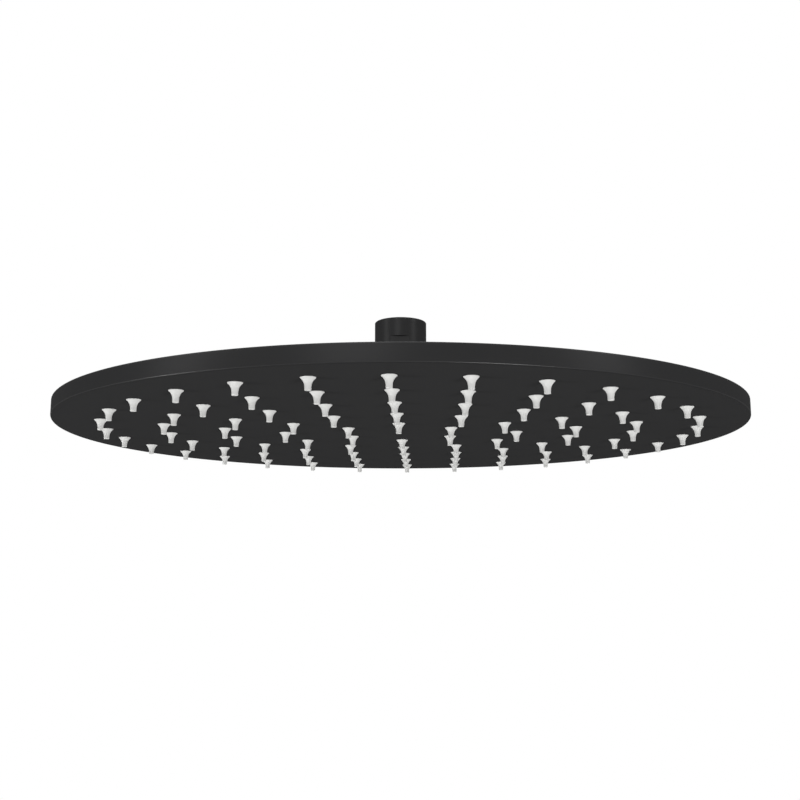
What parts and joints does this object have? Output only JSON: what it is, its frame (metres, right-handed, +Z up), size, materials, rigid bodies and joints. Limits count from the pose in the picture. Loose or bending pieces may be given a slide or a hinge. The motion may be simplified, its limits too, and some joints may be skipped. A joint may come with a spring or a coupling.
{
  "type": "rain shower head",
  "caption": "Slim round rain shower head in satin black, with soft grey spray nozzles on its flat face and a ball joint that swivels and tilts below a threaded inlet connector.",
  "frame": {"origin": "on the inlet's axis, where the inlet thread begins, just inside the connector's mouth", "axes": "+Z up out of the inlet, along the pipe's axis; the spanner flats face +Y and -Y; the spray face looks along -Z"},
  "size_m": [0.3, 0.3, 0.0549],
  "materials": {
    "black_coat": "satin black coat on metal",
    "nozzle_silicone": "light grey matt silicone",
    "seal_rubber": "matt black rubber",
    "screw_steel": "blackened steel",
    "filter_steel": "bare stainless steel",
    "seat_plastic": "natural white plastic, matt",
    "regulator_plastic": "moulded green plastic, matt",
    "nut_brass": "plain turned brass"
  },
  "bodies": {
    "connector": {"connector": "black_coat", "inlet_washer": "seal_rubber", "filter_mesh": "filter_steel", "flow_regulator": "regulator_plastic", "seal_follower": "seat_plastic", "ball_seal": "seal_rubber"},
    "seat": {"ball_seat": "seat_plastic"},
    "head": {"ball_stem": "black_coat", "stem_seal": "seal_rubber", "hub": "black_coat", "hub_gasket": "seal_rubber", "hub_nut": "nut_brass", "top_cover": "black_coat", "cover_screws": "screw_steel", "rim_seal": "seal_rubber", "nozzle_mat": "nozzle_silicone", "face_pan": "black_coat"}
  },
  "joints": [
    {"name": "swivel", "type": "hinge", "parent": "connector", "child": "seat", "pos_m": [0, 0, -0.02363], "axis": [0, 0, 1], "continuous": true},
    {"name": "tilt", "type": "hinge", "parent": "seat", "child": "head", "pos_m": [0, 0, -0.02363], "axis": [1, 0, 0], "range_deg": [-15, 15]}
  ]
}
